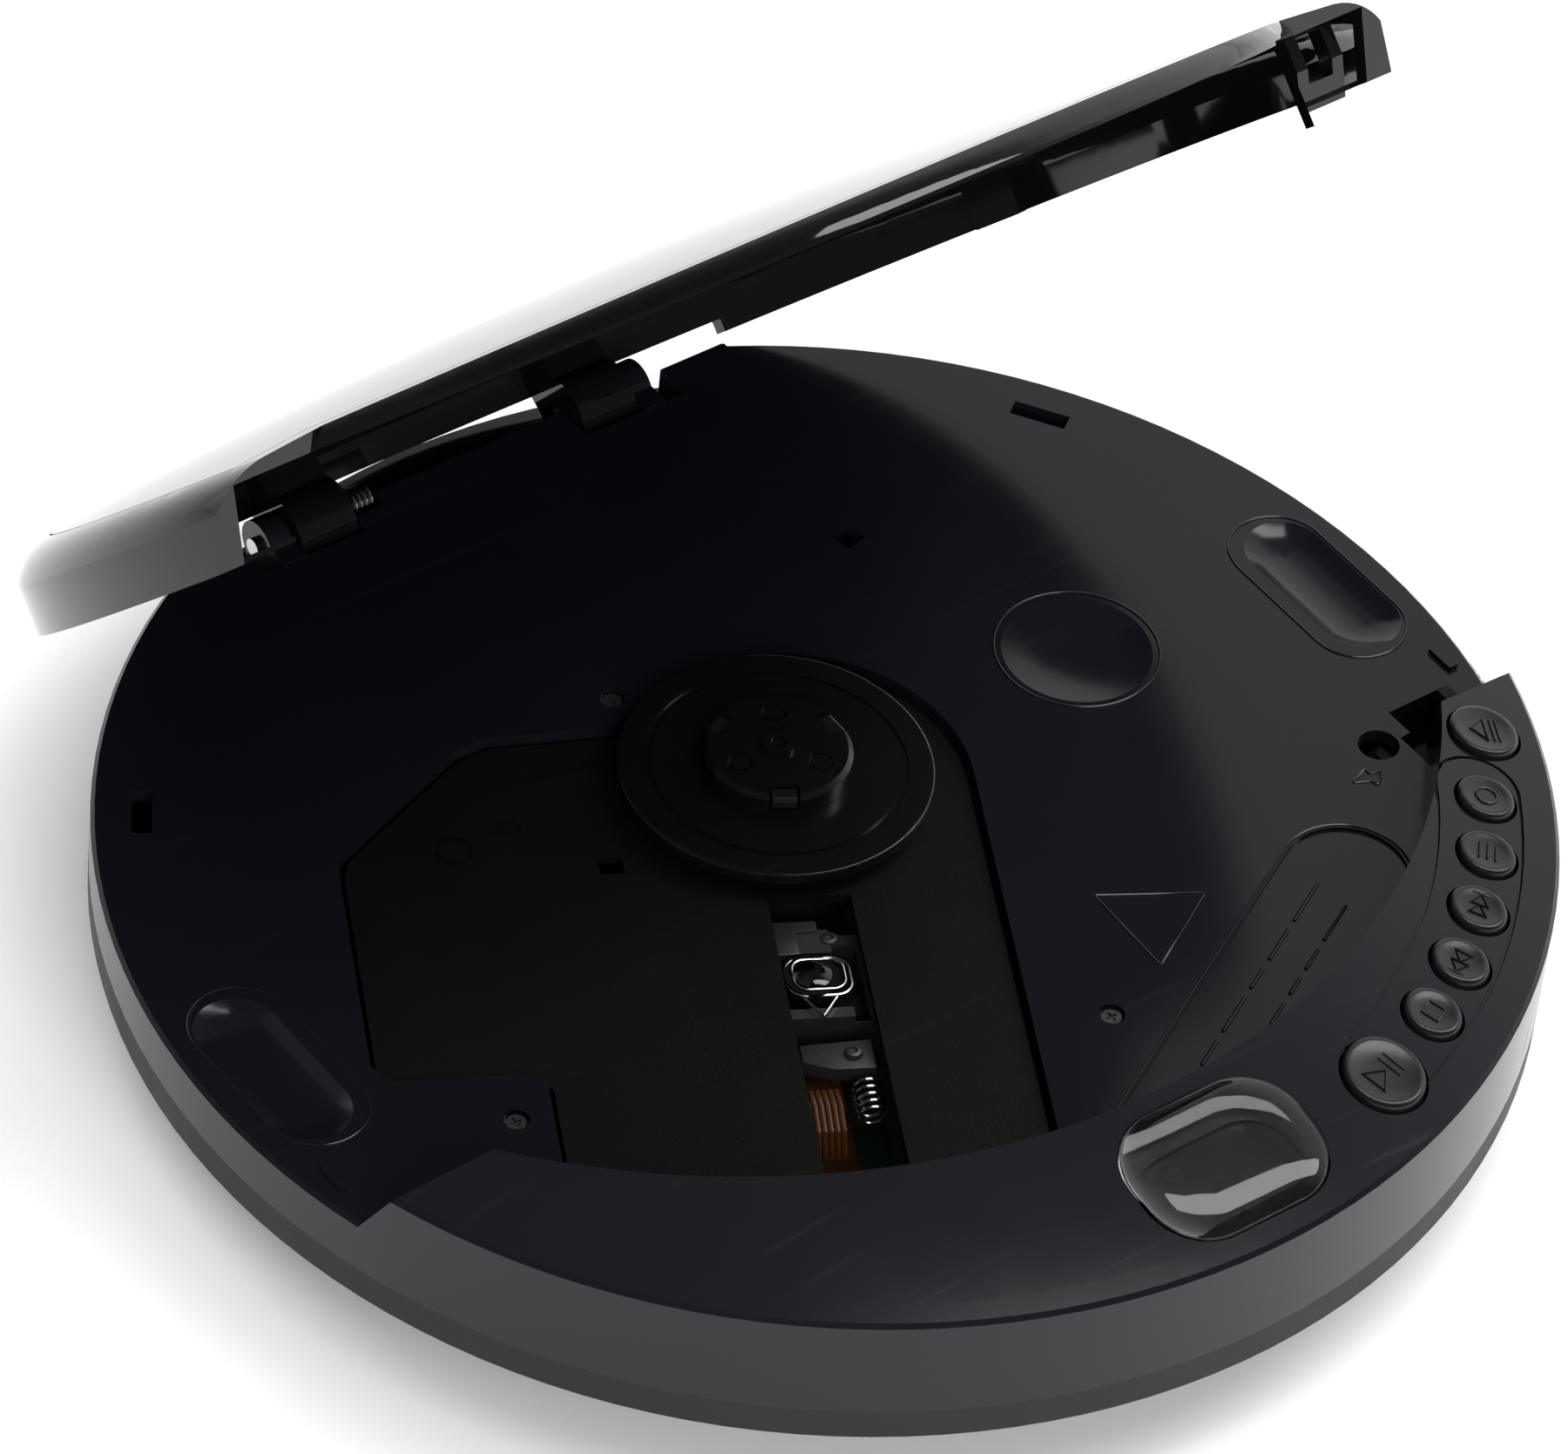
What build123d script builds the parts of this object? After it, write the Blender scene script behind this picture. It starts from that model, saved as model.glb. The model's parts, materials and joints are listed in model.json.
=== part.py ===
from build123d import *
import math
import os

# Portable disc player, lid open on its stop.  Millimetres.
# X runs along the lid hinge, Y towards the hinge, Z up from the table top.
# The origin lies on the table under the middle of the round case.

# ---------------------------------------------------------------- driving sizes
BODY_R = 71.0            # outer radius of case and lid
WALL = 1.6               # general moulding thickness
PANEL_T = 1.4            # wall of the raised control panel
BASE_R = 59.0            # radius of the flat underside
BASE_Z = 0.8             # underside above the table, on the feet
KNEE_Z = 10.0            # dished base meets the upright wall
SEAM_Z = 13.4            # joint between lower and upper case
DECK_Z = 19.2            # flat deck that the disc spins over
DECK_T = 1.5
DECK_UNDER = DECK_Z - DECK_T

DISC_R = 60.0            # the disc that the well has to clear
DISC_CLEAR = 0.4
SPINDLE_Y = 8.1          # spindle stands behind the case centre
MECH_TURN = -28.0        # drive mechanism is turned about the spindle

CRES_ARC_R = 71.3        # hollow edge of the control panel, round the disc
CRES_ARC_Y = SPINDLE_Y + CRES_ARC_R - DISC_R - DISC_CLEAR
CRES_IN_R = 52.0         # panel surface at its inner edge
CRES_IN_H = 9.8
CRES_OUT_R = 70.6        # panel surface at its outer crease
CRES_OUT_H = 5.8
END_Y = -19.5            # panel end wall at deck level
END_LEAN = 0.578         # its run in Y for each unit of height

HINGE_Y = 63.2
HINGE_Z = DECK_Z - 1.2
LID_OPEN = 47.0          # degrees from shut to the open stop
LID_GAP = 0.4
LID_FOOT = DECK_Z + 0.2
LID_WALL_H = 5.25        # upright side of the lid above the deck
RING_R = 66.4            # inlaid disc of the lid
RING_H = 8.5
DOME_H = 11.7
LIP_FOOT = DECK_Z + 7.2  # the front lip hangs no lower than this
LIP_ROLL_Z = 7.6
LIP_ROLL = 3.2
EAR_X = 65.3             # beyond this the side wall keeps its full height
NOTCH_X = 33.8           # rear notch that the lid's back edge dips into
NOTCH_Y = 62.6
NOTCH_FLOOR = 13.7

KNUCKLE_X = (13.9, 20.5)
KNUCKLE_R = 4.0
LUG_X = (20.8, 23.4)
PIN_R = 1.0

KEY_RING_R = 63.7        # the keys stand on an arc about the case centre
SMALL_KEY_R = 2.9
PLAY_KEY_R = 4.1
OPEN_KEY_R = 3.5
KEY_GAP = 0.3
KEY_PROUD = 0.7
KEY_BOTTOM = DECK_Z + 3.6
KEY_FLANGE_T = 0.9
KEYS = {
    "open_button": (65.0, -26.8, OPEN_KEY_R),
    "mode_button": (KEY_RING_R, -35.3, SMALL_KEY_R),
    "memory_button": (KEY_RING_R, -42.3, SMALL_KEY_R),
    "skip_forward_button": (KEY_RING_R, -49.3, SMALL_KEY_R),
    "skip_back_button": (KEY_RING_R, -56.2, SMALL_KEY_R),
    "stop_button": (KEY_RING_R, -63.1, SMALL_KEY_R),
    "play_button": (KEY_RING_R, -71.9, PLAY_KEY_R),
}

ISLAND_R = 63.0          # groove that rings the small keys
ISLAND_W = 8.8
ISLAND_FROM = -70.5
ISLAND_SWEEP = 36.5

WINDOW_Y = -61.2
WINDOW_SIZE = (20.6, 14.6)
WINDOW_CORNER = 6.3

LENS_V = -25.3           # pickup lens, along the sled's way from the spindle
SLED_U = (-12.5, 9.5)
SLED_V = (LENS_V - 4.8, LENS_V + 7.0)
SLED_Z = (9.8, 15.5)
ROD_U = (-10.0, 7.6)
ROD_Z = 12.0
ROD_R = 1.2
CHASSIS_END = -66.0
OPENING_END = -61.5
COVER_END = -56.0
SCREW_U = 14.5
SCREW_Z = 13.4
THREAD_PITCH = 2.0

TURNTABLE_R = 15.6
MAT_R = (12.3, 13.0)     # groove in the turntable's top
HUB_R = 7.4              # centres the disc's 15 mm hole
HUB_TOP = DECK_Z + 4.4
HUB_TURN = 27.0          # where the first disc clip stands
HUB_SCREW_AT = 4.6
MOTOR_R = 10.4
LENS_R = 1.9

CELL_R = 7.0
CELL_X = (28.7, 43.5)
CELL_Z = 9.55
BAY_X = (21.0, 51.2)
BAY_Y = (-28.4, 28.9)
BAY_TOP = 16.6

DECK_SCREWS = ((-6.9, 25.7), (8.2, -35.0), (-48.1, -16.1))
DECK_SCREW_R = 1.0
DIMPLE_AT = (63.7, 1.5)
DIMPLE_R = 7.8
TAB_AT = (54.9, 36.7)    # locating tabs of the lid
TAB_TURN = 56.2
LEGEND_AT = (22.2, -41.2)
LEGEND_SIZE = (52.0, 12.4)
BOSSES = ((34.0, 43.0), (-44.0, 32.0), (-52.0, -18.0), (0.0, -54.0), (24.0, -49.0))
FEET_R = 50.0
FOOT_R = 4.5
PHONE_ANGLE = 18.0
DC_ANGLE = 55.0
WHEEL_ANGLE = 35.0
WHEEL_R = 6.0
WHEEL_AT = 65.6
WHEEL_Z = 15.4
WHEEL_RIBS = 36
HOLD_ANGLE = -12.0
HOLD_Z = 16.0
SOCKET_Z = 14.0

MECH = Pos(0, SPINDLE_Y, 0) * Rot(0, 0, MECH_TURN)


# ---------------------------------------------------------------- small helpers
def disc(radius, z0, z1, x=0.0, y=0.0):
    return Pos(x, y, (z0 + z1) / 2) * Cylinder(radius, z1 - z0)


def block(xs, ys, zs):
    centre = ((xs[0] + xs[1]) / 2, (ys[0] + ys[1]) / 2, (zs[0] + zs[1]) / 2)
    return Pos(*centre) * Box(xs[1] - xs[0], ys[1] - ys[0], zs[1] - zs[0])


def slab(z0, z1):
    return block((-90, 90), (-90, 90), (z0, z1))


def prism(sketch, z0, z1):
    return extrude(Pos(0, 0, z0) * sketch, z1 - z0, dir=(0, 0, 1))


def rod_x(radius, x0, x1, y, z):
    return Pos((x0 + x1) / 2, y, z) * Rot(0, 90, 0) * Cylinder(radius, x1 - x0)


def rod_v(radius, v0, v1, u, z):
    return Pos(u, (v0 + v1) / 2, z) * Rot(90, 0, 0) * Cylinder(radius, v1 - v0)


def at_angle(radius, angle, z):
    turn = math.radians(angle)
    return Pos(radius * math.cos(turn), radius * math.sin(turn), z) * Rot(0, 0, angle)


def spun(points):
    return revolve(make_face(Plane.XZ * Polyline(*points, close=True)), Axis.Z)


def group(solids):
    whole = solids[0]
    for solid in solids[1:]:
        whole += solid
    return whole


def both_sides(solid):
    return solid + mirror(solid, Plane.YZ)


def lid_pose(solid):
    return solid.rotate(Axis((0, HINGE_Y, HINGE_Z), (1, 0, 0)), -LID_OPEN)


# ---------------------------------------------------------------- shared volumes
def base_volume(inset=0.0):
    """The dished lower volume, from underside to seam."""
    return spun([
        (0, BASE_Z + inset),
        (BASE_R - inset * 0.45, BASE_Z + inset),
        (BODY_R - inset, KNEE_Z + inset * 0.4),
        (BODY_R - inset, SEAM_Z + inset),
        (0, SEAM_Z + inset),
    ])


def end_region(gap=0.0):
    """Everything behind the leaning end walls of the control panel."""
    low = DECK_Z - 12
    high = DECK_Z + 24
    side = Polyline(
        (END_Y + 12 * END_LEAN + gap, low),
        (END_Y - 24 * END_LEAN + gap, high),
        (100, high),
        (100, low),
        close=True,
    )
    return extrude(make_face(Plane.YZ.offset(-100) * side), 200, dir=(1, 0, 0))


def panel_volume(inset=0.0, foot=DECK_UNDER):
    """The raised crescent that carries keys and display."""
    rise = DECK_Z - inset
    profile = [
        Line((45, foot), (45, rise + 11.1)),
        Line((45, rise + 11.1), (CRES_IN_R, rise + CRES_IN_H)),
        ThreePointArc((CRES_IN_R, rise + CRES_IN_H), (62, rise + 7.85),
                      (CRES_OUT_R - inset, rise + CRES_OUT_H)),
        Line((CRES_OUT_R - inset, rise + CRES_OUT_H), (BODY_R - inset, rise + CRES_OUT_H - 0.45)),
        Line((BODY_R - inset, rise + CRES_OUT_H - 0.45), (BODY_R - inset, foot)),
        Line((BODY_R - inset, foot), (45, foot)),
    ]
    solid = revolve(make_face(Plane.XZ * Curve(profile)), Axis.Z)
    solid -= disc(CRES_ARC_R + inset, foot - 1, DECK_Z + 20, 0, CRES_ARC_Y)
    solid -= end_region(-inset / 0.866)
    return solid


def lid_volume(inset=0.0, foot=LID_FOOT):
    """The lid's outer form, shut: a shallow dome with a bevelled side."""
    top = DECK_Z - inset
    edge = BODY_R - inset
    ring = RING_R - inset * 0.4
    profile = [
        Line((0, foot), (0, top + DOME_H)),
        ThreePointArc((0, top + DOME_H), (ring / 2, top + RING_H + 0.75 * (DOME_H - RING_H)),
                      (ring, top + RING_H)),
        ThreePointArc((ring, top + RING_H), (ring + 2.85, top + 7.35), (edge, top + LID_WALL_H)),
        Line((edge, top + LID_WALL_H), (edge, foot)),
        Line((edge, foot), (0, foot)),
    ]
    dome = revolve(make_face(Plane.XZ * Curve(profile)), Axis.Z)
    return dome & (lid_front(inset, foot) + end_region((LID_GAP + inset) / 0.866))


def lid_front(inset, foot):
    """Round column whose side is the lid's front lip, rolled over at the top."""
    edge = CRES_ARC_R - LID_GAP - inset
    top = DECK_Z - inset
    profile = [
        Line((0, foot - 1), (edge, foot - 1)),
        Line((edge, foot - 1), (edge, top + LIP_ROLL_Z)),
        ThreePointArc((edge, top + LIP_ROLL_Z), (edge - 0.8, top + LIP_ROLL_Z + 1.6),
                      (edge - LIP_ROLL, top + LIP_ROLL_Z + 3.0)),
        Line((edge - LIP_ROLL, top + LIP_ROLL_Z + 3.0), (edge - LIP_ROLL, DECK_Z + 20)),
        Line((edge - LIP_ROLL, DECK_Z + 20), (0, DECK_Z + 20)),
        Line((0, DECK_Z + 20), (0, foot - 1)),
    ]
    return Pos(0, CRES_ARC_Y, 0) * revolve(make_face(Plane.XZ * Curve(profile)), Axis.Z)


def opening_outline(end):
    """Outline of the deck opening over the drive mechanism, spindle at 0,0."""
    edge = [
        Polyline((19.7, -0.4), (19.7, end), (-27.5, end), (-27.5, -39.7), (-28.5, -38.2), (-42.0, -38.2),
                 (-43.9, -36.2), (-43.9, -10.0), (-43.2, -7.6), (-30.8, 5.8), (-27.3, 7.5),
                 (-15.1, 8.2), (-11.0, 10.6), (-10.1, 13.4)),
        ThreePointArc((-10.1, 13.4), (9.25, 16.0), (19.7, -0.4)),
    ]
    return make_face(Curve(edge))


# ---------------------------------------------------------------- case
def side_holes():
    """Openings in the right-hand wall for the sockets, volume wheel and hold switch."""
    holes = at_angle(68, PHONE_ANGLE, SOCKET_Z) * Rot(0, 90, 0) * Cylinder(3.1, 12)
    holes += at_angle(68, DC_ANGLE, SOCKET_Z) * Rot(0, 90, 0) * Cylinder(3.3, 12)
    holes += at_angle(WHEEL_AT, WHEEL_ANGLE, WHEEL_Z) * Cylinder(WHEEL_R + 0.5, 3.0)
    holes += at_angle(70, HOLD_ANGLE, HOLD_Z) * Box(6, 9.0, 2.6)
    return holes


def lower_case():
    shell = base_volume() - base_volume(WALL)
    bay_outer = block((BAY_X[0] - 1.2, BAY_X[1] + 1.2), (BAY_Y[0] - 1.2, BAY_Y[1] + 1.2), (1.0,
        BAY_TOP + 0.8))
    bay = (bay_outer - block(BAY_X, BAY_Y, (0, BAY_TOP))) & spun([
        (0, BASE_Z), (BASE_R, BASE_Z), (BODY_R - 0.5, KNEE_Z), (BODY_R - 0.5, 20), (0, 20)])
    for x, y in BOSSES:
        shell += disc(3.0, BASE_Z + 0.4, SEAM_Z - 0.1, x, y)
    shell += bay
    shell -= block((BAY_X[0], 80), BAY_Y, (0, 8.9))
    shell -= block(BAY_X, BAY_Y, (0, BAY_TOP))
    for x, y in BOSSES:
        shell -= disc(1.15, 0, SEAM_Z + 1, x, y)
        shell -= disc(2.4, 0, BASE_Z + 2.0, x, y)
    for k in range(4):
        shell -= at_angle(FEET_R, 45 + 90 * k, BASE_Z) * Cylinder(FOOT_R + 0.05, 0.8)
    shell -= side_holes()
    return shell


def battery_door():
    skin = base_volume() - base_volume(WALL)
    door = skin & block((BAY_X[0] + 0.3, 80), (BAY_Y[0] + 0.3, BAY_Y[1] - 0.3), (0, 8.6))
    for k in range(5):
        door -= block((46.0 + 1.8 * k, 46.8 + 1.8 * k), (-8, 8), (0, BASE_Z + 0.4))
    return door


def tab_place(side, z):
    """Where a locating tab of the lid drops into the deck."""
    return Pos(side * TAB_AT[0], TAB_AT[1], z) * Rot(0, 0, -side * TAB_TURN)


def dimple(side):
    """Long finger dimple near the rim, as the tool that sinks it."""
    x, y = side * DIMPLE_AT[0], DIMPLE_AT[1]
    tool = Pos(x, y, DECK_Z + 6.6) * Rot(90, 0, 0) * Cylinder(DIMPLE_R, 12)
    for end in (-1, 1):
        tool += Pos(x, y + end * 6, DECK_Z + 6.6) * Sphere(DIMPLE_R)
    return tool


def deck_cuts():
    """Everything let into the deck, one tool each."""
    legend = Pos(*LEGEND_AT) * Rot(0, 0, -MECH_TURN) * SlotOverall(*LEGEND_SIZE)
    cuts = [
        MECH * prism(opening_outline(OPENING_END), DECK_UNDER - 1, DECK_Z + 1),
        Pos(27.1, 32.3, DECK_Z) * Rot(0, 0, 12) * Box(2.5, 2.5, 6),
        Pos(36.6, 7.0, DECK_Z + 35.6) * Sphere(36.4),
        disc(2.1, DECK_UNDER - 1, DECK_Z + 1, 53.7, -19.7),
        block((57.5, 64.6), (-24.5, -16.6), (DECK_UNDER - 1, DECK_Z + 1)),
        block((56.2, 57.6), (-25.5, -20.0), (DECK_UNDER - 1, DECK_Z + 1)),
        prism(legend, DECK_Z - 0.35, DECK_Z + 1),
    ]
    for side in (-1, 1):
        cuts.append(tab_place(side, DECK_Z) * Box(5.9, 2.0, 6))
        cuts.append(dimple(side))
    for x, y in DECK_SCREWS:
        cuts.append(disc(DECK_SCREW_R + 0.3, DECK_Z - 0.9, DECK_Z + 1, x, y))
    return cuts


def hinge_lug():
    """One bearing lug of the case, on the right."""
    outline = Pos(HINGE_Y, HINGE_Z) * Circle(2.7) + Pos(60.8, 15.8) * Rectangle(5.0, 7.2)
    lug = extrude(Plane.YZ.offset(LUG_X[0]) * outline, LUG_X[1] - LUG_X[0], dir=(1, 0, 0))
    return lug - rod_x(PIN_R, 12, 30, HINGE_Y, HINGE_Z)


def upper_case():
    case = disc(BODY_R, SEAM_Z, DECK_Z) - disc(BODY_R - WALL, SEAM_Z - 1, DECK_UNDER)
    case = chamfer(case.edges().filter_by(GeomType.CIRCLE).group_by(Axis.Z)[-1], 0.4)
    for cut in deck_cuts():
        case -= cut
    hollow = panel_volume(PANEL_T, DECK_UNDER - 1)
    case -= hollow & slab(DECK_UNDER - 2, DECK_Z + 20)
    case += panel_volume() - hollow
    case -= block((57.9, 64.4), (-20.4, -16.6), (DECK_UNDER - 1, DECK_Z + 3.5))
    case -= block((NOSE_X[0] - 0.4, NOSE_X[1] + 0.4), (-26.0, -16.0), (NOSE_Z[0] - 0.3, NOSE_Z[1] + 0.3))

    # rear notch with its floor and the wall in front of it
    case -= block((-NOTCH_X, NOTCH_X), (NOTCH_Y, 80), (NOTCH_FLOOR, DECK_Z + 1))
    floor = disc(BODY_R - WALL - 0.2, NOTCH_FLOOR - 1.2, NOTCH_FLOOR)
    case += floor & block((-NOTCH_X, NOTCH_X), (NOTCH_Y - WALL, 80), (0, 20))
    case += disc(BODY_R, SEAM_Z, DECK_Z) & block((-NOTCH_X, NOTCH_X), (NOTCH_Y - WALL, NOTCH_Y), (0, 40))
    slots = block((KNUCKLE_X[0] - 0.4, LUG_X[1] + 2.4), (58.4, 80), (NOTCH_FLOOR, DECK_Z + 1))
    case -= both_sides(slots)
    case -= block((-KNUCKLE_X[0], -9.8), (60.6, 80), (NOTCH_FLOOR, DECK_Z + 1))
    case += block((-NOTCH_X, NOTCH_X), (56.4, 58.4), (NOTCH_FLOOR - 1.2, DECK_UNDER + 0.2))
    case += block((-NOTCH_X, NOTCH_X), (58.2, NOTCH_Y), (NOTCH_FLOOR - 1.2, NOTCH_FLOOR))
    case += both_sides(hinge_lug())

    # display window and key holes
    window = Pos(0, WINDOW_Y) * RectangleRounded(*WINDOW_SIZE, WINDOW_CORNER)
    case -= prism(window, DECK_Z + 3, DECK_Z + 14)
    for radius, angle, key_r in KEYS.values():
        case -= at_angle(radius, angle, DECK_Z + 8.2) * Cylinder(key_r + KEY_GAP, 11.4)

    # groove round the small keys
    band = panel_volume() - panel_volume(0.3)
    loop = key_island(ISLAND_W) - key_island(ISLAND_W - 0.8)
    case -= band & loop

    for side in (-1, 1):
        case += block((side * 67.0 - 0.5, side * 67.0 + 0.5), (-15.2, -11.9), (DECK_Z - 0.1, DECK_Z + 0.5))
    for x, y in BOSSES:
        case += disc(2.6, SEAM_Z + 0.1, DECK_UNDER + 0.3, x, y) - disc(1.05, SEAM_Z, SEAM_Z + 3.2, x, y)
    case -= side_holes() & slab(SEAM_Z - 0.2, DECK_UNDER)
    return case


def key_island(width):
    """Round-ended band of the panel about the small keys, as a tall solid."""
    middle = CenterArc((0, 0), ISLAND_R, ISLAND_FROM, ISLAND_SWEEP)
    return prism(SlotArc(middle, width), DECK_Z, DECK_Z + 14)


def display_window():
    plug = Pos(0, WINDOW_Y) * RectangleRounded(WINDOW_SIZE[0] - 0.3, WINDOW_SIZE[1] - 0.3,
        WINDOW_CORNER - 0.15)
    lens = prism(plug, DECK_Z + 4, DECK_Z + 12) & panel_volume(-0.5)
    return lens - panel_volume(0.9)


def display_module():
    glass = block((-8.6, 8.6), (WINDOW_Y - 5.2, WINDOW_Y + 5.0), (DECK_Z + 3.0, DECK_Z + 4.4))
    frame = block((-9.4, 9.4), (WINDOW_Y - 5.8, WINDOW_Y + 5.6), (DECK_Z + 1.5, DECK_Z + 3.0))
    return glass + frame


def key_top(radius, angle, key_r):
    at = at_angle(radius, angle, 0)
    stem = at * disc(key_r, KEY_BOTTOM, DECK_Z + 12)
    key = stem & panel_volume(-KEY_PROUD)
    flange = at * disc(key_r + 0.9, KEY_BOTTOM, KEY_BOTTOM + KEY_FLANGE_T)
    return key + (flange & panel_volume(PANEL_T + 0.25, DECK_Z))


def open_button():
    radius, angle, key_r = KEYS["open_button"]
    stem = at_angle(radius, angle, 0) * disc(1.5, DECK_Z - 1.0, KEY_BOTTOM + 0.2)
    return key_top(radius, angle, key_r) + stem


def control_board():
    board = panel_volume(2.2, DECK_UNDER - 1) & slab(DECK_Z + 0.4, DECK_Z + 1.4)
    radius, angle, _ = KEYS["open_button"]
    board -= at_angle(radius, angle, DECK_Z) * Cylinder(2.2, 8)
    return board - block((NOSE_X[0] - 0.6, NOSE_X[1] + 0.6), (-28.0, -20.0), (DECK_Z, DECK_Z + 2))


def key_switches():
    switches = []
    for name, (radius, angle, _) in KEYS.items():
        if name != "open_button":
            switches.append(at_angle(radius, angle, DECK_Z + 2.05) * Box(4.4, 4.4, 1.2))
    return group(switches)


# ---------------------------------------------------------------- power and sockets
def battery_cells():
    cells = []
    for k, x in enumerate(CELL_X):
        y0 = -23.6
        body = Pos(x, y0 + 24.0, CELL_Z) * Rot(90, 0, 0) * Cylinder(CELL_R, 48.0)
        nub_y = y0 + 48.5 if k == 0 else y0 - 0.5
        nub = Pos(x, nub_y, CELL_Z) * Rot(90, 0, 0) * Cylinder(2.6, 1.4)
        cells.append(body + nub)
    return group(cells)


def battery_contacts():
    plates = []
    for x in CELL_X:
        plates.append(block((x - 4.5, x + 4.5), (BAY_Y[1] - 0.7, BAY_Y[1] - 0.3), (4.5, 14.0)))
        plates.append(block((x - 4.5, x + 4.5), (BAY_Y[0] + 0.3, BAY_Y[0] + 0.7), (4.5, 14.0)))
    return group(plates)


def battery_springs():
    springs = []
    for k, x in enumerate(CELL_X):
        if k == 0:
            start, step = BAY_Y[0] + 1.1, 0.85
        else:
            start, step = BAY_Y[1] - 1.1, -0.85
        for turn in range(4):
            ring = Pos(x, start + step * turn, CELL_Z) * Rot(90, 0, 0) * Torus(4.2 - 0.6 * turn, 0.3)
            springs.append(ring)
    return group(springs)


def rubber_feet():
    feet = []
    for k in range(4):
        pad = at_angle(FEET_R, 45 + 90 * k, BASE_Z / 2 + 0.2) * Cylinder(FOOT_R, BASE_Z + 0.4)
        feet.append(fillet(pad.edges().group_by(Axis.Z)[0], 0.35))
    return group(feet)


def case_screws():
    screws = []
    for x, y in BOSSES:
        head = disc(2.0, BASE_Z + 0.5, BASE_Z + 1.95, x, y) - block((x - 1.2, x + 1.2), (y - 0.25,
            y + 0.25), (0, 1.9))
        head -= block((x - 0.25, x + 0.25), (y - 1.2, y + 1.2), (0, 1.9))
        screws.append(head + disc(1.0, BASE_Z + 1.9, SEAM_Z + 3.0, x, y))
    return group(screws)


def deck_screws():
    screws = []
    for x, y in DECK_SCREWS:
        head = disc(DECK_SCREW_R, DECK_Z - 0.9, DECK_Z - 0.4, x, y)
        head -= block((x - 0.6, x + 0.6), (y - 0.15, y + 0.15), (DECK_Z - 0.7, DECK_Z))
        head -= block((x - 0.15, x + 0.15), (y - 0.6, y + 0.6), (DECK_Z - 0.7, DECK_Z))
        screws.append(head)
    return group(screws)


def headphone_jack():
    at = at_angle(64.0, PHONE_ANGLE, SOCKET_Z)
    body = at * Box(10.0, 6.2, 5.6)
    collar = at * Pos(5.8, 0, 0) * Rot(0, 90, 0) * Cylinder(2.9, 3.0)
    bore = at * Pos(2.0, 0, 0) * Rot(0, 90, 0) * Cylinder(1.8, 12)
    return body + collar - bore


def dc_jack():
    at = at_angle(64.0, DC_ANGLE, SOCKET_Z)
    body = at * Box(10.0, 7.4, 6.4)
    collar = at * Pos(5.8, 0, 0) * Rot(0, 90, 0) * Cylinder(3.1, 3.0)
    bore = at * Pos(2.0, 0, 0) * Rot(0, 90, 0) * Cylinder(2.2, 12)
    pin = at * Pos(0.5, 0, 0) * Rot(0, 90, 0) * Cylinder(0.65, 10)
    return body + collar - bore + pin


def volume_wheel():
    at = at_angle(WHEEL_AT, WHEEL_ANGLE, WHEEL_Z)
    wheel = at * Cylinder(WHEEL_R, 2.2)
    for k in range(WHEEL_RIBS):
        notch = at * Rot(0, 0, 360 * k / WHEEL_RIBS) * Pos(WHEEL_R, 0, 0) * Cylinder(0.22, 4)
        wheel -= notch
    return wheel - at * Cylinder(1.55, 4)


def volume_pot():
    at = at_angle(WHEEL_AT, WHEEL_ANGLE, 0)
    base = at * Pos(-0.6, 0, 12.6) * Box(6.4, 6.4, 2.2)
    return base + at * disc(1.5, 13.6, 16.4)


def hold_switch():
    at = at_angle(69.3, HOLD_ANGLE, HOLD_Z)
    knob = at * Pos(1.2, -1.2, 0) * Box(3.2, 4.6, 2.1)
    back = at * Pos(-1.1, -1.2, 0) * Box(1.6, 6.0, 2.1)
    for k in range(3):
        knob -= at * Pos(2.8, -2.2 + k, 0) * Box(0.5, 0.4, 3)
    return knob + back


def main_board():
    board = disc(54, 4.0, 5.0) & block((-60, 18.6), (-60, 60), (0, 10))
    for x, y in BOSSES:
        board -= disc(3.4, 0, 10, x, y)
    return board


def board_chips():
    chips = []
    for x, y, w, d, h in ((-20, 34, 12, 12, 1.6), (0, 40, 8, 10, 1.4), (-34, 12, 10, 14, 1.6),
                          (8, -20, 9, 9, 1.4), (-6, -36, 7, 5, 1.2), (10, 44, 4, 4, 2.4)):
        chips.append(block((x - w / 2, x + w / 2), (y - d / 2, y + d / 2), (5.0, 5.0 + h)))
    return group(chips)


# ---------------------------------------------------------------- latch and lid switch
LATCH_X = (58.2, 63.8)
HOOK_Y = (-19.3, -17.0)
HOOK_FOOT = 17.5
HOOK_BAR_TOP = 21.4
LATCH_Z = (13.9, 15.9)
NOSE_X = (60.8, 62.2)
NOSE_Z = (21.6, 22.9)


def latch_slider():
    """Plate under the panel, its nose reaching up and out over the hook's bar."""
    slider = block((57.0, 62.3), (-24.6, -19.45), LATCH_Z)
    slider += block((57.0, 60.0), (-31.2, -24.5), LATCH_Z)
    slider += block((57.0, 59.4), (-31.2, -27.6), (LATCH_Z[1] - 0.2, 17.1))
    slider += block(NOSE_X, (-24.6, -23.4), (LATCH_Z[0], NOSE_Z[1]))
    return slider + block(NOSE_X, (-24.6, -19.45), NOSE_Z)


def latch_spring():
    rings = [Pos(58.3, -31.6 - 0.7 * k, 14.9) * Rot(90, 0, 0) * Torus(1.1, 0.2) for k in range(4)]
    return group(rings)


def lid_switch():
    body = block((52.7, 56.7), (-22.3, -17.1), (11.6, 15.4))
    for x in (53.2, 54.7):
        body += block((x - 0.35, x + 0.35), (-20.6, -18.8), (15.3, 17.0))
    return body


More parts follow.
